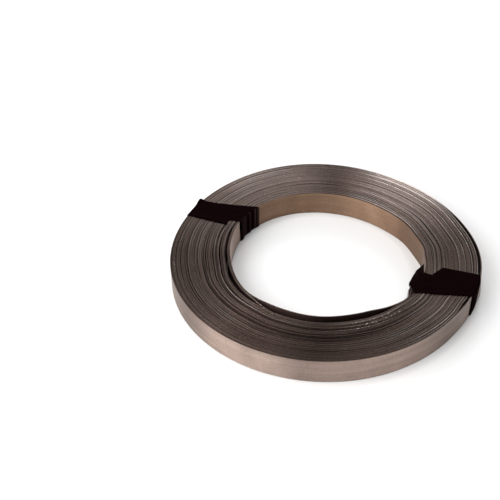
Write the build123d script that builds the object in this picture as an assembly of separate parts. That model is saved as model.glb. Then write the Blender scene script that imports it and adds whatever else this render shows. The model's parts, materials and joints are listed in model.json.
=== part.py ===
from build123d import *
import os

# Coil of flat steel banding lying flat, held together by two tape ties.
# Millimetres, +Z up. The origin is on the bore axis, at the floor.

# Steel strap
strap_width = 19.0
strap_thickness = 0.635
edge_dressing = 0.15
edge_depth = 0.25

# Winding: turns laid one on another round the bore
bore_diameter = 140.0
turn_count = 53
turn_air = 0.03

# Seams: places where a group of turns has sprung apart from the next one.
# Each is given by its share of the turns, counted from the bore.
seam_air = 1.0
seam_depth = 3.0
seam_shares = (0.1, 0.18, 0.27, 0.46, 0.62)

# Tape ties, each a closed band round the strap bundle.
# A bearing is measured round the bore axis from +X, and the lean turns the band off the radius.
tape_width = 25.0
tape_thickness = 0.25
tape_clearance = 0.05
right_bearing_angle = -24.0
right_lean_angle = 11.5
left_bearing_angle = 148.5
left_lean_angle = 16.5

# Worked-out sizes
turn_pitch = strap_thickness + turn_air
seam_turns = [round(share * turn_count) for share in seam_shares]
bundle_depth = turn_count * turn_pitch + len(seam_turns) * seam_air
bore_radius = bore_diameter / 2
coil_radius = bore_radius + bundle_depth
bundle_middle = bore_radius + bundle_depth / 2
coil_bottom = tape_thickness + tape_clearance
coil_middle = coil_bottom + strap_width / 2
coil_top = coil_bottom + strap_width


def end_corners():
    """Corners of one end from the bore outwards, as a radius and a depth below the end face."""
    corners = []
    radius = bore_radius
    for turn in range(1, turn_count + 1):
        corners.append((radius, edge_depth))
        corners.append((radius + edge_dressing, 0))
        radius = radius + turn_pitch
        corners.append((radius - edge_dressing, 0))
        if turn in seam_turns:
            corners.append((radius, edge_depth))
            corners.append((radius + seam_air / 2, seam_depth))
            radius = radius + seam_air
    corners.append((radius, edge_depth))
    return corners


def strap_coil():
    """One turned solid with its bore. A groove parts each turn from the next on both ends."""
    corners = end_corners()
    lower_end = [(radius, coil_bottom + depth) for radius, depth in corners]
    upper_end = [(radius, coil_top - depth) for radius, depth in reversed(corners)]
    section = make_face(Polyline(*lower_end, *upper_end, close=True))
    return revolve(Plane.XZ * section, axis=Axis.Z)


def ring_around_bundle(standoff):
    """Plain ring that stands off the strap bundle by the same distance all round its section."""
    height = strap_width + 2 * standoff
    disc = Cylinder(coil_radius + standoff, height)
    hole = Cylinder(bore_radius - standoff, height)
    return Pos(0, 0, coil_middle) * (disc - hole)


def tape_tie(bearing, lean):
    """Band of tape that runs over, down, under and up again round the strap bundle."""
    sleeve = ring_around_bundle(tape_clearance + tape_thickness) - ring_around_bundle(tape_clearance)
    reach = 2 * bundle_depth
    band = Box(reach, tape_width, coil_top + coil_bottom)
    place = Rot(0, 0, bearing) * Pos(bundle_middle, 0, coil_middle) * Rot(0, 0, lean)
    return sleeve & (place * band)


os.makedirs("parts", exist_ok=True)
export_step(strap_coil(), "parts/strap_coil.step")
export_step(tape_tie(right_bearing_angle, right_lean_angle), "parts/tie_right.step")
export_step(tape_tie(left_bearing_angle, left_lean_angle), "parts/tie_left.step")
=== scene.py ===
import json
import math
import bpy
import numpy as np
from mathutils import Matrix, Vector


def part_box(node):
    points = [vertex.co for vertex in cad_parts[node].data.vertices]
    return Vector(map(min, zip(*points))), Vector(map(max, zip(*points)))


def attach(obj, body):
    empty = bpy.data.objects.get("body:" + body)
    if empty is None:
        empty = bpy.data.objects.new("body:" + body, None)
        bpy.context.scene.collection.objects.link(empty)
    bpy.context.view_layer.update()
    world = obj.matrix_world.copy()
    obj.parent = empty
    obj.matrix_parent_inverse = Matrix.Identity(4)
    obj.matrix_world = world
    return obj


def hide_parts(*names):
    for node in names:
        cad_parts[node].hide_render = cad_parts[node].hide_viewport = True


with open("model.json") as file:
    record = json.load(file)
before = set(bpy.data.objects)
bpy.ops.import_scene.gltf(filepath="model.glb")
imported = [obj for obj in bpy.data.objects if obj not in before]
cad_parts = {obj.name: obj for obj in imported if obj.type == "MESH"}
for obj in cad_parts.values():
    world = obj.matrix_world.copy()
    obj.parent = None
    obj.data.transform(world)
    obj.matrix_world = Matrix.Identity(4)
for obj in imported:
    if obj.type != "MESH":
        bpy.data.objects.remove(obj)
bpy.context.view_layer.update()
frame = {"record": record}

# Coil of flat steel banding: one strap wound round an open bore, held by two black tape ties.
# Metres. Angles are degrees round the bore axis, from +X towards +Y. A ramp is the angle over which
# something fades out on both sides of the angles where it is full.

# Sizes taken from the solids
coil_low, coil_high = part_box("strap_coil")
COIL_RADIUS = coil_high.x
COIL_BOTTOM = coil_low.z
COIL_TOP = coil_high.z
hub_bore = next(mount for mount in frame["record"]["mounts"] if mount["name"] == "hub_bore")
BORE_RADIUS = hub_bore["dims"]["r_mm"] / 1000

# Steel strap, wound clockwise from the bore outwards, with both its ends under the right tie
STRAP_THICKNESS = 0.000635
STRAP_CORNER = 0.00012
TURNS = 53
STEPS_A_TURN = 144
STRAP_END = -24.0
LEAST_AIR = 0.000006
# At both ends the strap lies close to the next turn, over one turn divided by this
CLOSE_END_PARTS = 6
# A face whose normal leans up or down by more than this is part of a slit edge
EDGE_SLOPE = 0.3
SHARP_CORNER = 60.0
STRAP_SMOOTH_ANGLE = 30.0

# Outline of the winding. Each row is a count of rounded lobes, their height and where one is highest.
OUTSIDE_LOBES = ((3, 0.0009, -15.0), (4, 0.0005, 5.0))
BORE_LOBES = ((2, 0.0004, 115.0), (3, 0.0005, 0.0))
# Each row is a height, the first and last angle where it is full, and the ramp.
OUTSIDE_BULGES = ((0.0015, -16.0, -10.0, 28.0),)
BORE_BULGES = (
    (0.0012, 5.0, 22.0, 20.0),
    (-0.0008, 60.0, 60.0, 60.0),
    (-0.0024, 172.0, 185.0, 38.0),
    (-0.0010, 236.0, 243.0, 24.0),
    (-0.0010, 240.0, 275.0, 25.0),
    (0.0055, -42.0, -18.0, 32.0),
    (-0.0015, -14.0, -8.0, 10.0),
)

# The inner turns stand into the bore beside the right tie: how far, first and last angle, ramp.
# Each turn from the bore outwards takes a share of it, and these turns sink a little.
INNER_KINK = (0.0043, -37.5, -35.0, 8.0)
KINK_SHARES = (1.0, 0.72, 0.44, 0.20)
KINK_SINK = 0.0002
# The outermost turn flares at its foot: how far, first and last angle, ramp.
# The flare is a little over one turn long, and begins over one turn divided by the parts.
OUTER_FLARE = (0.0020, -14.0, -4.0, 10.0)
FLARED_TURNS = 1.1
FLARE_START_PARTS = 10

# Places where turns have sprung apart: turns from the bore, air, first and last angle, ramp
SEAMS = (
    (1, 0.0051, 241.0, 289.0, 23.0),
    (3, 0.0015, 165.0, 190.0, 20.0),
    (3, 0.0025, 206.0, 219.0, 17.0),
    (7, 0.0002, 309.0, 320.0, 14.0),
    (8, 0.0003, 276.0, 292.0, 12.0),
    (8, 0.0009, 176.0, 208.0, 30.0),
    (9, 0.0005, -1.0, 21.0, 20.0),
    (10, 0.0005, 146.0, 160.0, 14.0),
    (14, 0.0006, 184.0, 200.0, 20.0),
    (16, 0.0006, -14.0, 20.0, 22.0),
    (16, 0.0006, 82.0, 93.0, 14.0),
    (19, 0.0003, 290.0, 303.0, 12.0),
    (20, 0.0003, 285.0, 299.0, 12.0),
    (20, 0.0007, 168.0, 182.0, 18.0),
    (23, 0.0004, 193.0, 236.0, 24.0),
    (26, 0.0003, -14.0, 0.0, 14.0),
    (27, 0.0006, 248.0, 272.0, 20.0),
    (37, 0.0002, 314.0, 326.0, 10.0),
    (43, 0.0004, 176.0, 189.0, 14.0),
    (47, 0.0004, -6.0, 12.0, 14.0),
    (48, 0.0005, 107.0, 128.0, 14.0),
    (51, 0.0012, -34.0, -27.0, 7.0),
    (52, 0.0020, -18.0, 11.0, 24.0),
)

# Chance in the winding: its seed, and how many times in a turn spacing, height and brightness change
WINDING_SEED = 53
SPACING_CHANGES = 5
HEIGHT_CHANGES = 3
BRIGHTNESS_CHANGES = 4
# How unevenly the turns are spaced: at least, more between two angles, and the ramp
LEAST_UNEVENNESS = 0.22
TURN_UNEVENNESS = 0.8
UNEVEN_ANGLES = (180.0, 310.0, 35.0)
# How far a turn stands above or below its neighbours, and the most that chance can make of it
TURN_RISE = 0.00014
RISE_LIMIT = 1.8
# Where the turns are pressed level: how fully, first and last angle, ramp
PRESSED_TURNS = ((1.0, -42.0, -6.0, 12.0), (1.0, 128.0, 162.0, 12.0), (0.7, 72.0, 110.0, 16.0))

# Brightness of the slit edges from turn to turn: what chance draws, and the brightness it gives
EDGE_LEVELS = ((-1.3, -2.6), (-0.5, -0.4), (0.8, 0.55), (1.6, 1.5))
# The next three have rows of a first and last turn, how much, first and last angle, and ramp.
# Where the edges differ more from turn to turn, or less
EDGE_SPREAD = (
    (0, 53, 0.6, 5.0, 56.0, 16.0),
    (0, 53, -0.45, 74.0, 112.0, 12.0),
    (28, 53, -0.25, 185.0, 234.0, 16.0),
    (0, 24, 0.15, 200.0, 245.0, 20.0),
    (25, 53, -0.6, 250.0, 284.0, 16.0),
    (0, 24, 0.7, 276.0, 322.0, 20.0),
    (25, 53, 0.6, 300.0, 322.0, 16.0),
)
# Where burrs on them carry painted glints
BURR_GLINTS = (
    (0, 53, 0.12, 0.0, 360.0, 1.0),
    (46, 51, 0.4, 4.0, 14.0, 6.0),
    (47, 50, 0.4, 185.0, 190.0, 4.0),
    (0, 3, 0.35, 222.0, 240.0, 8.0),
    (11, 12, 0.5, 259.0, 261.0, 3.0),
    (4, 5, 0.5, 280.0, 300.0, 8.0),
    (8, 9, 0.6, 286.0, 306.0, 8.0),
    (11, 12, 0.5, 276.0, 292.0, 8.0),
)
# Painted highlights on them, and painted shade where the level is below 0
EDGE_HIGHLIGHTS_AND_SHADE = (
    # Right and far side
    (0, 53, 0.3, 0.0, 112.0, 34.0),
    (20, 53, 0.25, 38.0, 52.0, 14.0),
    (28, 53, 0.3, 36.0, 54.0, 14.0),
    (37, 53, 0.35, 36.0, 56.0, 14.0),
    (46, 53, 0.4, 36.0, 58.0, 14.0),
    (0, 24, -0.3, 56.0, 74.0, 14.0),
    (24, 53, 0.45, 104.0, 124.0, 14.0),
    (42, 53, 0.45, 108.0, 126.0, 12.0),
    # Left side
    (0, 53, 0.4, 160.0, 172.0, 10.0),
    (0, 53, -0.55, 184.0, 202.0, 14.0),
    (0, 53, 0.3, 206.0, 222.0, 12.0),
    # Near side, left of the middle
    (0, 0, 2.0, 220.0, 258.0, 12.0),
    (1, 1, 1.6, 216.0, 264.0, 14.0),
    (1, 6, 0.3, 226.0, 286.0, 16.0),
    (2, 2, -1.2, 216.0, 264.0, 14.0),
    (3, 3, 1.4, 216.0, 260.0, 14.0),
    (4, 5, -1.0, 216.0, 260.0, 14.0),
    (6, 6, 1.4, 214.0, 256.0, 14.0),
    (7, 7, -1.2, 214.0, 256.0, 14.0),
    (8, 8, 1.2, 214.0, 250.0, 14.0),
    (2, 26, -0.3, 252.0, 300.0, 16.0),
    (22, 26, -0.7, 250.0, 276.0, 16.0),
    (0, 53, -0.5, 238.0, 258.0, 16.0),
    (0, 53, -0.2, 258.0, 284.0, 16.0),
    # Near side, right of the middle
    (3, 4, 1.5, 276.0, 304.0, 12.0),
    (6, 6, -1.6, 276.0, 306.0, 10.0),
    (8, 8, 1.9, 282.0, 312.0, 12.0),
    (10, 10, -1.6, 276.0, 306.0, 10.0),
    (12, 12, 1.7, 274.0, 296.0, 12.0),
    (14, 14, -1.4, 276.0, 310.0, 10.0),
    (16, 17, -1.9, 284.0, 322.0, 10.0),
    (20, 20, -1.9, 280.0, 322.0, 10.0),
    (2, 14, -0.35, 304.0, 326.0, 10.0),
    (0, 53, 0.45, 284.0, 312.0, 16.0),
)
# Where the bore wall is as grey as the outside, without the painted brown reflection: first and last angle,
# ramp
GREY_BORE = (150.0, 195.0, 25.0)
# Where the broad faces are darker or lighter, painted shade and painted light by where lamps and shadow
# fall, and in the narrow row at 237.5 to 240.5 a stain: how much, first and last angle, ramp
FACE_LIGHT_AND_STAINS = (
    (0.14, 32.0, 46.0, 14.0),
    (-0.30, 188.0, 208.0, 14.0),
    (0.10, 228.0, 242.0, 14.0),
    (-0.12, 237.5, 240.5, 2.0),
    (0.12, 272.0, 290.0, 14.0),
    (-0.45, 322.0, 345.0, 22.0),
)

# Black tape
TAPE_WIDTH = 0.025
TAPE_THICKNESS = 0.0002
TAPE_CORNER = 0.0010
TAPE_COLUMNS = 40
TAPE_STANDOFF = 0.00018
TAPE_WALL_STANDOFF = 0.00045
TAPE_UNDERSIDE_STANDOFF = 0.00015
TAPE_LAYER = 0.00025
TAPE_SMOOTHING = 0.5
TAPE_SMOOTH_ANGLE = 60.0
# Share of the slack on the bore wall that is left at its foot, and that the fold above drops by
SLACK_SHARE = 0.3
# Low waves in the tape: their height, and how fast they run across it and along it
WAVE_HEIGHT = 0.00008
WAVES_ACROSS = 9
WAVES_ALONG = 4
# Its path round the strap bundle starts at the foot of the outer wall. Each leg has a count of rows.
TAPE_LEGS = (
    ("outer_wall", 14),
    ("outer_corner", 6),
    ("top", 30),
    ("inner_corner", 12),
    ("inner_wall", 16),
    ("inner_foot", 6),
    ("bottom", 24),
    ("outer_foot", 6),
    ("outer_wall", 14),
    ("outer_corner", 6),
    ("top_end", 26),
)
SECOND_LAYER = 8
# Places along the path, counted in legs: where the hanging part begins and ends, each with its ramp,
# and where both layers can lift off the outer corner, with the length of that lift
HANGING_START, HANGING_START_RAMP = 3.2, 0.8
HANGING_END, HANGING_END_RAMP = 6.0, 0.6
LIFTED_PLACES = (1.6, 9.6)
LIFTED_LENGTH = 0.5
# Rounds in which the distance to an uneven wall settles
WALL_ROUNDS = 8

# The two ties, in the words of tape_tie below
RIGHT_TIE = dict(
    direction=-13.5,
    edges=((0, -0.0285, -0.0165), (1, -0.0292, -0.0130), (2, -0.0290, -0.0085), (2.85, -0.0321, -0.0126),
           (3, -0.0326, -0.0114), (3.4, -0.0314, -0.0106), (4, -0.0268, 0.0008), (5, -0.0265, 0.0000),
           (6, -0.0270, -0.0025), (7, -0.0280, -0.0120), (8, -0.0278, -0.0165), (9, -0.0290, -0.0125),
           (10, -0.0287, -0.0060), (11, -0.0318, -0.0031)),
    rim=((0, 0.0680), (0.22, 0.0649), (0.5, 0.0667), (0.75, 0.0691), (1, 0.0738)),
    end=((0, 0.0785), (0.7, 0.0793), (1, 0.0857)),
    ridges=(),
    lifts=(),
    fold_sheen=0.3,
)
LEFT_TIE = dict(
    direction=165.0,
    edges=((0, -0.0370, -0.0180), (1, -0.0380, -0.0185), (2, -0.0365, -0.0180), (3, -0.0400, -0.0195),
           (4, -0.0405, -0.0195), (5, -0.0400, -0.0195), (6, -0.0395, -0.0190), (7, -0.0385, -0.0185),
           (8, -0.0385, -0.0190), (9, -0.0385, -0.0190), (10, -0.0383, -0.0185), (11, -0.0378, -0.0135)),
    rim=((0, 0.08), (1, 0.08)),
    end=((0, 0.0940), (0.35, 0.0780), (1, 0.0742)),
    ridges=((0.0, 0.0010, 0.14), (0.45, 0.0010, 0.09), (0.9, 0.0008, 0.10)),
    lifts=((0.0, 0.0022, 0.25),),
    fold_sheen=1.0,
)

# Colours
FACE_STEEL = (0.31, 0.235, 0.20, 1)
# Brown of a painted reflection on the bore wall
BORE_REFLECTION_STEEL = (0.225, 0.142, 0.095, 1)
EDGE_STEEL = (0.084, 0.057, 0.047, 1)
# Light grey of bright edges, partly random tone and partly painted highlights
BRIGHT_EDGE_STEEL = (0.070, 0.058, 0.053, 1)
# Painted shade on faces between two turns, which show only in the gaps
GAP_SHADE_STEEL = (0.075, 0.046, 0.040, 1)
TAPE_BLACK = (0.0034, 0.0009, 0.0012, 1)
TAPE_LINT = (0.006, 0.0030, 0.0030, 1)
# Brown of a painted sheen on the tape's folds
TAPE_FOLD_SHEEN = (0.040, 0.026, 0.022, 1)
TAPE_SHEEN = (0.9, 0.7, 0.65, 1)
FLOOR_WHITE = (0.8, 0.8, 0.8, 1)

# Finish of the steel. Rolled marks have a count in a metre along the strap and one across it, other
# patterns have a scale, and each has a strength.
STREAKS_ALONG, STREAKS_ACROSS, STREAK_STRENGTH = 14.0, 1500.0, 0.40
BANDS_ALONG, BANDS_ACROSS, BAND_STRENGTH = 9.0, 240.0, 0.6
STAIN_SCALE, STAIN_STRENGTH = 60.0, 0.45
PATCH_SCALE, PATCH_STRENGTH = 22.0, 0.5
SATIN_SCALE, SATIN_STRENGTH = 900.0, 0.5
STEEL_ROUGHNESS = 0.36
STAIN_ROUGHNESS = 0.14
EDGE_ROUGHNESS = -0.13
STREAK_BUMP, STREAK_DEPTH = 0.12, 0.00005
# Painted glints of burrs are the peaks of a fine grain along the strap.
BURR_SCALE = 420.0
BURR_PEAKS = (0.58, 0.72)
GLINT_BRIGHTNESS = 5.0
EDGE_CONTRAST = 0.55
# Edge brightness between which the colour turns from mill grey to the light grey of bright edges, partly
# random tone and partly painted highlights
BRIGHT_EDGE_LEVELS = (0.4, 1.6)

# Finish of the tape
TAPE_THREAD = 0.00045
WEAVE_BUMP, WEAVE_DEPTH = 0.5, 0.00008
LINT_SCALE = 700.0
LINT_PEAKS = (0.52, 0.75)
FOLD_SCALE = 420.0
FOLD_PEAKS = (0.5, 0.7)

# Camera, from the coil's outlines in the photograph
CAMERA_PLACE = (-0.05227, -0.48110, 0.41948)
CAMERA_PITCH = 39.64
CAMERA_ROLL = -1.4
CAMERA_LENS = 62.14
CAMERA_SENSOR = 36.0

# Floor, which glows faintly where it is seen, but not in a ring under the coil: the radius of the
# middle of that ring, and the distances from there between which the glow sets in
FLOOR_SIZE = 8.0
FLOOR_GLOW = 0.12
DARK_RING = 0.09
DARK_RING_EDGE = (0.0215, 0.026)
# Sky: heights between which the pale horizon turns into the darker overhead light
HORIZON_HEIGHTS = (0.54, 0.66)
HORIZON_LIGHT = 1.15
OVERHEAD_LIGHT = 0.32
# Lamps that face the coil: name, place, size and power
LAMPS = (
    ("key_lamp", (-0.61, -0.38, 0.60), 0.9, 11.0),
    ("right_back_lamp", (0.52, 1.57, 0.70), 0.45, 7.2),
    ("left_back_lamp", (-0.12, 1.65, 0.70), 0.55, 6.6),
)


def ease(share):
    """Smooth step from 0 to 1."""
    share = np.clip(share, 0, 1)
    return share * share * (3 - 2 * share)


def part_of_circle(angle, first, last, ramp):
    """1 between two angles, falling smoothly to 0 over the ramp outside them."""
    middle = (first + last) / 2
    off = np.abs((angle - middle + 180) % 360 - 180) - (last - first) / 2
    return ease(1 - off / ramp)


def parts_of_circle(angle, rows):
    """Sum of rows of a level, first and last angle, and ramp."""
    return sum(level * part_of_circle(angle, *where) for level, *where in rows)


def outline(angle, radius, lobes, bulges):
    """Radius of an uneven circle at each angle."""
    for count, height, at in lobes:
        radius = radius + height * np.cos(np.radians(count * (angle - at)))
    return radius + parts_of_circle(angle, bulges)


def outside_radius(angle):
    return outline(angle, COIL_RADIUS, OUTSIDE_LOBES, OUTSIDE_BULGES)


def bore_radius(angle):
    return outline(angle, BORE_RADIUS, BORE_LOBES, BORE_BULGES)


def turns_wound(turns):
    """Turns from the inner end of the strap at each of its stations."""
    return np.arange(turns * STEPS_A_TURN + 1) / STEPS_A_TURN


def wander(draw, turns, changes_a_turn):
    """Random level along the strap that differs from turn to turn and changes slowly within one."""
    knots = draw.normal(size=(turns + 1) * changes_a_turn + 2)
    place = turns_wound(turns + 1) * changes_a_turn
    index = place.astype(int)
    share = ease(place - index)
    level = (1 - share) * knots[index] + share * knots[index + 1]
    return (level[STEPS_A_TURN:] - level[:-STEPS_A_TURN]) / math.sqrt(2)


def part_of_winding(wound, inner_turn, outer_turn, level, first, last, ramp):
    """A level between two turns and two angles, falling smoothly to 0 outside them."""
    turns = ease(wound - inner_turn + 1) * ease(outer_turn - wound + 1)
    return level * turns * part_of_circle(STRAP_END - 360 * wound, first, last, ramp)


def parts_of_winding(wound, rows):
    return sum(part_of_winding(wound, *row) for row in rows)


def seam_air(wound):
    """Air of the sprung places in the gap outside each station of the strap."""
    seams = np.zeros_like(wound)
    for turn, air, first, last, ramp in SEAMS:
        middle = turn - 1 + (STRAP_END - (first + last) / 2) / 360 % 1
        off = np.abs(wound - middle) * 360 - (last - first) / 2
        seams += air * ease(1 - off / ramp)
    return seams


def strap_radii(draw):
    """Middle radius of the strap at each station, packed between the bore and the outside."""
    gaps = TURNS - 1
    wound = turns_wound(gaps)
    uneven = LEAST_UNEVENNESS + TURN_UNEVENNESS * part_of_circle(STRAP_END - 360 * wound, *UNEVEN_ANGLES)
    close_ends = ease(wound * CLOSE_END_PARTS) * ease((gaps - wound) * CLOSE_END_PARTS)
    weights = np.exp(uneven * wander(draw, gaps, SPACING_CHANGES)) * close_ends
    weights = weights[:-1].reshape(gaps, STEPS_A_TURN)
    fixed = STRAP_THICKNESS + LEAST_AIR + seam_air(wound)
    fixed = fixed[:-1].reshape(gaps, STEPS_A_TURN)
    share = turns_wound(1)[:-1]
    angle = STRAP_END - 360 * share
    growth = (share - 0.5) * (STRAP_THICKNESS + LEAST_AIR)
    inner = bore_radius(angle) + STRAP_THICKNESS / 2 + growth
    outer = outside_radius(angle) - STRAP_THICKNESS / 2 + growth
    spare = np.maximum(outer - inner - fixed.sum(axis=0), 0)
    steps = fixed + weights / weights.sum(axis=0) * spare
    radii = outer - np.cumsum(steps[::-1], axis=0)[::-1]
    kink, *kinked = INNER_KINK
    for turn, kink_share in enumerate(KINK_SHARES):
        radii[turn] -= kink_share * kink * part_of_circle(angle, *kinked)
    end = outside_radius(STRAP_END) + LEAST_AIR / 2
    return np.concatenate([radii.ravel(), outer, [end]])


def wind_strap():
    """The whole strap as one wound strip, thickened and with its corners dressed."""
    draw = np.random.default_rng(WINDING_SEED)
    wound = turns_wound(TURNS)
    angle = STRAP_END - 360 * wound
    radius = strap_radii(draw)
    rise = np.clip(wander(draw, TURNS, HEIGHT_CHANGES), -RISE_LIMIT, RISE_LIMIT)
    rise = TURN_RISE * rise * (1 - parts_of_circle(angle, PRESSED_TURNS))
    rise -= part_of_winding(wound, 0, len(KINK_SHARES), KINK_SINK, *INNER_KINK[1:])
    tone = np.interp(wander(draw, TURNS, BRIGHTNESS_CHANGES), *zip(*EDGE_LEVELS))
    tone *= 1 + parts_of_winding(wound, EDGE_SPREAD)
    # Painted highlights and painted shade on the edges
    tone += parts_of_winding(wound, EDGE_HIGHLIGHTS_AND_SHADE)
    flare, *flared = OUTER_FLARE
    last_turn = ease((wound - TURNS + FLARED_TURNS) * FLARE_START_PARTS)
    flare = flare * part_of_circle(angle, *flared) * last_turn

    strap, station, upper = add_strip("wound_strap", TURNS * STEPS_A_TURN, 1)
    mesh = strap.data
    reach = radius[station] + np.where(upper, 0, flare[station])
    x = reach * np.cos(np.radians(angle))[station]
    y = reach * np.sin(np.radians(angle))[station]
    z = np.where(upper, COIL_TOP, COIL_BOTTOM) + rise[station]
    place_vertices(mesh, x, y, z)
    steps = np.hypot(np.diff(radius), radius[1:] * math.radians(360 / STEPS_A_TURN))
    set_attribute(mesh, "along", "POINT", np.append(0, np.cumsum(steps))[station])
    set_attribute(mesh, "tone", "POINT", tone[station])
    # Painted glints of burrs on the edges
    set_attribute(mesh, "burr_glint", "POINT", parts_of_winding(wound, BURR_GLINTS)[station])
    # Painted light and shade on the broad faces, with one stain
    set_attribute(mesh, "light_and_stain", "POINT", parts_of_circle(angle, FACE_LIGHT_AND_STAINS)[station])
    set_attribute(mesh, "turn", "POINT", wound[station])
    add_modifier(strap, "SOLIDIFY", thickness=STRAP_THICKNESS, offset=0)
    add_modifier(strap, "BEVEL", width=STRAP_CORNER, segments=1, limit_method="ANGLE",
                 angle_limit=math.radians(SHARP_CORNER), harden_normals=True)
    face_outwards(strap)
    mark_strap_faces(mesh)
    bpy.ops.object.shade_smooth_by_angle(angle=math.radians(STRAP_SMOOTH_ANGLE))
    return strap


def mark_strap_faces(mesh):
    """Which faces are slit edges, which lie between two turns and take painted shade, and which are the
    bore wall with its painted brown reflection.
    """
    normals = face_values(mesh, "normal")
    middles = face_values(mesh, "center")
    turn = first_corner_values(mesh, "turn")
    edge = np.abs(normals[:, 2]) > EDGE_SLOPE
    inward = (normals[:, :2] * middles[:, :2]).sum(axis=1) < 0
    covered = np.where(inward, turn > 1, turn < TURNS - 1)
    facing = np.degrees(np.arctan2(middles[:, 1], middles[:, 0]))
    reflected_share = 1 - part_of_circle(facing, *GREY_BORE)
    set_attribute(mesh, "slit_edge", "FACE", edge)
    # Faces between two turns get painted shade
    set_attribute(mesh, "inside", "FACE", ~edge & covered)
    set_attribute(mesh, "bore_reflection", "FACE", (~edge & inward) * reflected_share)


def add_strip(name, steps_along, steps_across):
    """Flat grid to be laid out, with the step along it and across it of each of its points."""
    bpy.ops.object.select_all(action="DESELECT")
    bpy.ops.mesh.primitive_grid_add(x_subdivisions=steps_along, y_subdivisions=steps_across, size=1)
    strip = bpy.context.object
    strip.name = name
    flat = np.zeros(len(strip.data.vertices) * 3)
    strip.data.vertices.foreach_get("co", flat)
    flat = flat.reshape(-1, 3) + 0.5
    along = np.rint(flat[:, 0] * steps_along).astype(int)
    across = np.rint(flat[:, 1] * steps_across).astype(int)
    return strip, along, across


def place_vertices(mesh, x, y, z):
    mesh.vertices.foreach_set("co", np.column_stack([x, y, z]).ravel())
    mesh.update()


def face_values(mesh, name):
    """A direction or place of each face."""
    values = np.zeros(len(mesh.polygons) * 3)
    mesh.polygons.foreach_get(name, values)
    return values.reshape(-1, 3)


def first_corner_values(mesh, name):
    """Value of a point attribute at the first corner of each face."""
    values = np.zeros(len(mesh.vertices))
    mesh.attributes[name].data.foreach_get("value", values)
    corners = np.zeros(len(mesh.loops), int)
    mesh.loops.foreach_get("vertex_index", corners)
    starts = np.zeros(len(mesh.polygons), int)
    mesh.polygons.foreach_get("loop_start", starts)
    return values[corners[starts]]


def set_attribute(mesh, name, domain, values):
    made = mesh.attributes.new(name, "FLOAT", domain)
    made.data.foreach_set("value", np.asarray(values, np.float32))


def add_modifier(piece, kind, **settings):
    """A modifier with its settings, applied at once."""
    modifier = piece.modifiers.new(kind.title(), kind)
    for name, value in settings.items():
        setattr(modifier, name, value)
    bpy.context.view_layer.objects.active = piece
    bpy.ops.object.modifier_apply(modifier=modifier.name)


def face_outwards(piece):
    bpy.context.view_layer.objects.active = piece
    bpy.ops.object.mode_set(mode="EDIT")
    bpy.ops.mesh.select_all(action="SELECT")
    bpy.ops.mesh.normals_make_consistent(inside=False)
    bpy.ops.object.mode_set(mode="OBJECT")


def wall_distance(direction, side, outline_radius):
    """How far along a direction a line beside the bore axis meets the bore or the outside."""
    distance = np.full_like(side, outline_radius(direction))
    for settling in range(WALL_ROUNDS):
        angle = direction + np.degrees(np.arctan2(side, distance))
        distance = np.sqrt(outline_radius(angle) ** 2 - side ** 2)
    return distance


def tape_leg(kind, share, near, far, slack, stop):
    """One leg of the tape's path: distance from the bore axis, height, and how it faces out and up.

    Near is the bore and far the outside. Slack is how far the tape hangs off the bore wall, and stop is
    where its end lies.
    """
    corner = TAPE_CORNER
    foot = COIL_BOTTOM + corner
    shoulder = COIL_TOP - corner
    slack_left = SLACK_SHARE * slack
    fold = corner + slack_left
    sine = np.sin(share * math.pi / 2)
    cosine = np.cos(share * math.pi / 2)
    if kind == "outer_wall":
        return far, foot + share * (shoulder - foot), 1, 0
    if kind == "outer_corner":
        return far - corner + corner * cosine, shoulder + corner * sine, cosine, sine
    if kind == "top":
        return far - corner + share * (near - far + 2 * corner), COIL_TOP, 0, 1
    if kind == "top_end":
        return far - corner + share * (stop - far + corner), COIL_TOP, 0, 1
    if kind == "inner_corner":
        reach = near + corner - (corner + slack) * np.sqrt(sine)
        return reach, COIL_TOP - fold * (1 - np.sqrt(cosine)), -sine, cosine
    if kind == "inner_wall":
        reach = near - slack + (slack - slack_left) * ease(share)
        return reach, COIL_TOP - fold + share * (foot - COIL_TOP + fold), -1, 0
    if kind == "inner_foot":
        reach = near - slack_left + (corner + slack_left) * (1 - cosine)
        return reach, foot - corner * sine, -cosine, -sine
    if kind == "bottom":
        return near + corner + share * (far - near - 2 * corner), COIL_BOTTOM, 0, -1
    return far - corner + corner * sine, foot - corner * cosine, sine, -cosine


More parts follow.
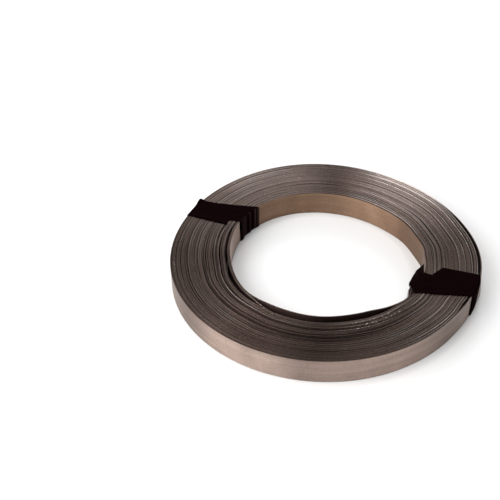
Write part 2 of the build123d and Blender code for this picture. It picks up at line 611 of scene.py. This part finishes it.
def tape_tie(name, direction, edges, rim, end, ridges, lifts, fold_sheen):
    """One strip of tape round the strap bundle, with a second layer over its outer wall and its top.

    The direction is an angle that the tape's length follows, from the bore axis outwards. Edges are
    places along the path, counted in legs, with both edges of the tape beside the bore axis. Rim is how
    far from the axis the tape folds down into the bore, and end is where it stops, both from one edge to
    the other. Ridges are folds of the hanging part, and lifts stand off the outer corner: place across,
    height and width. Fold sheen is how strong the painted brown sheen on the folds is.
    """
    legs = np.concatenate([np.full(rows, leg) for leg, (kind, rows) in enumerate(TAPE_LEGS)])
    shares = np.concatenate([(np.arange(rows) + 0.5) / rows for kind, rows in TAPE_LEGS])
    rows = len(legs)
    across = np.linspace(0, 1, TAPE_COLUMNS + 1)[None, :] + np.zeros((rows, 1))
    path = legs + shares
    places, *both = zip(*edges)
    first, last = (np.interp(path, places, edge)[:, None] for edge in both)
    side = first + (last - first) * across
    inner = wall_distance(direction, side, bore_radius)
    outer = wall_distance(direction, side, outside_radius)
    slack = np.maximum(inner - np.interp(across, *zip(*rim)), 0)
    stop = np.interp(across, *zip(*end))
    reach, height, out, up = (np.zeros_like(side) for part in range(4))
    for leg, (kind, count) in enumerate(TAPE_LEGS):
        at = legs == leg
        share = shares[at][:, None] + np.zeros_like(side[at])
        found = tape_leg(kind, share, inner[at], outer[at], slack[at], stop[at])
        reach[at], height[at], out[at], up[at] = found

    waves = 1 + np.sin(WAVES_ACROSS * across + WAVES_ALONG * shares[:, None] + legs[:, None])
    layer = np.where(legs >= SECOND_LAYER, TAPE_LAYER, 0)[:, None] + WAVE_HEIGHT * waves
    hanging = ease((path - HANGING_START) / HANGING_START_RAMP)
    hanging = hanging * ease((HANGING_END - path) / HANGING_END_RAMP)
    lifted = sum(np.exp(-((path - place) / LIFTED_LENGTH) ** 2) for place in LIFTED_PLACES)
    for where, forms in ((hanging, ridges), (lifted, lifts)):
        for place, size, width in forms:
            layer = layer + size * where[:, None] * np.exp(-((across - place) / width) ** 2)
    reach = reach + (layer + TAPE_WALL_STANDOFF) * out
    height = height + np.where(up < 0, TAPE_UNDERSIDE_STANDOFF, layer + TAPE_STANDOFF) * up
    turned = math.radians(direction)
    x = reach * math.cos(turned) - side * math.sin(turned)
    y = reach * math.sin(turned) + side * math.cos(turned)

    tape, row, column = add_strip(name, rows - 1, TAPE_COLUMNS)
    mesh = tape.data
    place_vertices(mesh, x[row, column], y[row, column], height[row, column])
    middle = TAPE_COLUMNS // 2
    steps = np.sqrt(sum(np.diff(values[:, middle]) ** 2 for values in (x, y, height)))
    length = np.append(0, np.cumsum(steps))
    set_attribute(mesh, "along", "POINT", length[row])
    set_attribute(mesh, "across", "POINT", TAPE_WIDTH * across[row, column])
    set_attribute(mesh, "fold_sheen", "POINT", fold_sheen * hanging[row])
    add_modifier(tape, "SMOOTH", factor=TAPE_SMOOTHING, iterations=1)
    add_modifier(tape, "SOLIDIFY", thickness=TAPE_THICKNESS, offset=0)
    face_outwards(tape)
    bpy.ops.object.shade_smooth_by_angle(angle=math.radians(TAPE_SMOOTH_ANGLE))
    return tape, length[-1]


def new_material(name, **constants):
    """Material with a Principled shader whose plain sockets are set here."""
    material = bpy.data.materials.new(name)
    material.use_nodes = True
    shader = material.node_tree.nodes["Principled BSDF"]
    for socket, value in constants.items():
        shader.inputs[socket.replace("_", " ")].default_value = value
    return material, material.node_tree, shader


def node(tree, kind, inputs=None, **settings):
    """Shader node with its settings; inputs are numbers, colours or the sockets that feed it."""
    made = tree.nodes.new("ShaderNode" + kind)
    for name, value in settings.items():
        setattr(made, name, value)
    for name, value in (inputs or {}).items():
        if isinstance(value, bpy.types.NodeSocket):
            tree.links.new(value, made.inputs[name])
        else:
            made.inputs[name].default_value = value
    return made


def attribute(tree, name):
    return node(tree, "Attribute", attribute_name=name).outputs["Fac"]


def object_place(tree):
    return node(tree, "TexCoord").outputs["Object"]


def calculate(tree, operation, *values):
    return node(tree, "Math", dict(enumerate(values)), operation=operation).outputs[0]


def between(tree, value, levels, top=1.0):
    """0 at the first of two levels and below it, and the top value at the second and above it."""
    inputs = {"Value": value, "From Min": levels[0], "From Max": levels[1], "To Max": top}
    return node(tree, "MapRange", inputs).outputs[0]


def pattern(tree, place, scale, detail):
    """Cloudy noise over a place."""
    inputs = {"Vector": place, "Scale": scale, "Detail": detail}
    return node(tree, "TexNoise", inputs).outputs["Fac"]


def line_pattern(tree, distance, scale, detail):
    """Noise that changes along one distance only."""
    inputs = {"W": distance, "Scale": scale, "Detail": detail}
    return node(tree, "TexNoise", inputs, noise_dimensions="1D").outputs["Fac"]


def mix_colour(tree, share, first, second, blend="MIX"):
    inputs = {"Factor": share, 6: first, 7: second}
    return node(tree, "Mix", inputs, data_type="RGBA", blend_type=blend).outputs[2]


def mottle(tree, colour, marks, strength):
    """Colour made darker and lighter by a pattern, and as bright as before on the whole."""
    level = calculate(tree, "MULTIPLY_ADD", marks, strength, 1 - strength / 2)
    return mix_colour(tree, 1.0, colour, level, "MULTIPLY")


def rolled_marks(tree, count_along, count_across, detail):
    """Long marks of the rolling mill, drawn out along the strap."""
    height = node(tree, "SeparateXYZ", {0: object_place(tree)}).outputs["Z"]
    along = calculate(tree, "MULTIPLY", attribute(tree, "along"), count_along)
    across = calculate(tree, "MULTIPLY", height, count_across)
    place = node(tree, "CombineXYZ", {"X": along, "Y": across}).outputs[0]
    return pattern(tree, place, 1.0, detail)


def strap_steel():
    """Satin rolled steel: fine lines along the strap, darker slit edges that differ from turn to turn with
    painted highlights, glints and shade, a painted brown reflection on the bore wall, and painted shade
    between turns.
    """
    material, tree, shader = new_material("strap_steel", Metallic=1.0, Anisotropic=0.85,
                                          Anisotropic_Rotation=0.25)
    round_axis = node(tree, "Tangent", direction_type="RADIAL", axis="Z")
    tree.links.new(round_axis.outputs[0], shader.inputs["Tangent"])
    edge = attribute(tree, "slit_edge")
    along = attribute(tree, "along")
    place = object_place(tree)

    streaks = rolled_marks(tree, STREAKS_ALONG, STREAKS_ACROSS, 4.0)
    bands = rolled_marks(tree, BANDS_ALONG, BANDS_ACROSS, 3.0)
    stains = pattern(tree, place, STAIN_SCALE, 5.0)
    patches = line_pattern(tree, along, PATCH_SCALE, 2.0)
    satin = pattern(tree, place, SATIN_SCALE, 2.0)
    # The bore wall takes a painted brown reflection
    face = mix_colour(tree, attribute(tree, "bore_reflection"), FACE_STEEL, BORE_REFLECTION_STEEL)
    face = mottle(tree, face, streaks, STREAK_STRENGTH)
    face = mottle(tree, face, patches, PATCH_STRENGTH)
    face = mottle(tree, face, stains, STAIN_STRENGTH)
    face = mottle(tree, face, bands, BAND_STRENGTH)
    face = mottle(tree, face, satin, SATIN_STRENGTH)
    # Painted light and shade on the broad faces, with one stain
    face = mix_colour(tree, 1.0, face, calculate(tree, "EXPONENT", attribute(tree, "light_and_stain")), "MULTIPLY")
    # Painted shade on faces between two turns
    face = mix_colour(tree, attribute(tree, "inside"), face, GAP_SHADE_STEEL)

    # Painted glints at the peaks of a grain along the strap
    grains = line_pattern(tree, along, BURR_SCALE, 1.0)
    specks = between(tree, grains, BURR_PEAKS, GLINT_BRIGHTNESS)
    tone = calculate(tree, "MULTIPLY_ADD", specks, attribute(tree, "burr_glint"), attribute(tree, "tone"))
    level = calculate(tree, "EXPONENT", calculate(tree, "MULTIPLY", tone, EDGE_CONTRAST))
    # Bright edges turn light grey, partly painted highlight
    slit = mix_colour(tree, between(tree, tone, BRIGHT_EDGE_LEVELS), EDGE_STEEL, BRIGHT_EDGE_STEEL)
    slit = mix_colour(tree, 1.0, slit, level, "MULTIPLY")
    tree.links.new(mix_colour(tree, edge, face, slit), shader.inputs["Base Color"])

    rough = calculate(tree, "MULTIPLY_ADD", stains, STAIN_ROUGHNESS, STEEL_ROUGHNESS)
    rough = calculate(tree, "MULTIPLY_ADD", edge, EDGE_ROUGHNESS, rough)
    tree.links.new(rough, shader.inputs["Roughness"])
    bump = node(tree, "Bump", {"Strength": STREAK_BUMP, "Distance": STREAK_DEPTH, "Height": streaks})
    tree.links.new(bump.outputs[0], shader.inputs["Normal"])
    return material


def tie_tape():
    """Matte black cloth tape: a plain weave, pale lint here and there, and a painted brown sheen on its
    folds.
    """
    material, tree, shader = new_material("tie_tape", Roughness=0.9, Specular_IOR_Level=0.002,
                                          Sheen_Weight=0.002, Sheen_Tint=TAPE_SHEEN)
    across = attribute(tree, "across")
    threads = 2 * math.pi / TAPE_THREAD
    warp = calculate(tree, "SINE", calculate(tree, "MULTIPLY", across, threads))
    weft = calculate(tree, "SINE", calculate(tree, "MULTIPLY", attribute(tree, "along"), threads))
    weave = calculate(tree, "MULTIPLY", warp, weft)
    lint = between(tree, pattern(tree, object_place(tree), LINT_SCALE, 6.0), LINT_PEAKS)
    folds = between(tree, line_pattern(tree, across, FOLD_SCALE, 2.0), FOLD_PEAKS)
    # Painted sheen on the folds of the hanging part
    fold_sheen = calculate(tree, "MULTIPLY", folds, attribute(tree, "fold_sheen"))
    colour = mix_colour(tree, lint, TAPE_BLACK, TAPE_LINT)
    colour = mix_colour(tree, fold_sheen, colour, TAPE_FOLD_SHEEN)
    tree.links.new(colour, shader.inputs["Base Color"])
    bump = node(tree, "Bump", {"Strength": WEAVE_BUMP, "Distance": WEAVE_DEPTH, "Height": weave})
    tree.links.new(bump.outputs[0], shader.inputs["Normal"])
    return material


def add_floor():
    """White floor that keeps the shadow."""
    bpy.ops.object.select_all(action="DESELECT")
    bpy.ops.mesh.primitive_plane_add(size=FLOOR_SIZE)
    floor = bpy.context.object
    floor.name = "floor"
    material, tree, shader = new_material("floor_white", Base_Color=FLOOR_WHITE, Roughness=0.9)
    path = node(tree, "LightPath").outputs
    seen = calculate(tree, "MAXIMUM", path["Is Camera Ray"], path["Is Glossy Ray"])
    seen = calculate(tree, "MAXIMUM", seen, path["Is Transmission Ray"])
    off_axis = node(tree, "VectorMath", {0: object_place(tree)}, operation="LENGTH").outputs["Value"]
    off_ring = calculate(tree, "ABSOLUTE", calculate(tree, "SUBTRACT", off_axis, DARK_RING))
    strength = calculate(tree, "MULTIPLY", seen, between(tree, off_ring, DARK_RING_EDGE, FLOOR_GLOW))
    glow = node(tree, "Emission", {"Strength": strength})
    both = node(tree, "AddShader", {0: shader.outputs[0], 1: glow.outputs[0]})
    tree.links.new(both.outputs[0], tree.nodes["Material Output"].inputs["Surface"])
    floor.data.materials.append(material)


def add_world():
    """Pale at the horizon and darker overhead."""
    world = bpy.data.worlds.new("studio")
    world.use_nodes = True
    bpy.context.scene.world = world
    tree = world.node_tree
    direction = node(tree, "TexCoord").outputs["Generated"]
    up = node(tree, "SeparateXYZ", {0: direction}).outputs["Z"]
    low, high = HORIZON_HEIGHTS
    inputs = {"Value": up, "From Min": low, "From Max": high,
              "To Min": HORIZON_LIGHT, "To Max": OVERHEAD_LIGHT}
    level = node(tree, "MapRange", inputs, interpolation_type="SMOOTHSTEP")
    tree.links.new(level.outputs[0], tree.nodes["Background"].inputs["Color"])


def add_lamp(name, place, size, power):
    bpy.ops.object.light_add(type="AREA", location=place)
    lamp = bpy.context.object
    lamp.name = name
    lamp.data.size = size
    lamp.data.energy = power
    lamp.rotation_euler = (-Vector(place)).to_track_quat("-Z", "Y").to_euler()


def add_camera():
    bpy.ops.object.camera_add()
    camera = bpy.context.object
    camera.data.lens = CAMERA_LENS
    camera.data.sensor_width = CAMERA_SENSOR
    pitch = Matrix.Rotation(math.radians(90 - CAMERA_PITCH), 4, "X")
    roll = Matrix.Rotation(math.radians(CAMERA_ROLL), 4, "Z")
    camera.matrix_world = Matrix.Translation(CAMERA_PLACE) @ pitch @ roll
    bpy.context.scene.camera = camera


strap = wind_strap()
strap.data.materials.append(strap_steel())
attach(strap, "root")
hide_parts("strap_coil")

right_tie, right_length = tape_tie("tape_tie_right", **RIGHT_TIE)
left_tie, left_length = tape_tie("tape_tie_left", **LEFT_TIE)
tape = tie_tape()
for tie, node_name, length in ((right_tie, "tie_right", right_length), (left_tie, "tie_left", left_length)):
    tie.data.materials.append(tape)
    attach(tie, "root")
    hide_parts(node_name)

add_floor()
add_world()
for lamp in LAMPS:
    add_lamp(*lamp)
add_camera()
bpy.context.scene.view_settings.view_transform = "Standard"
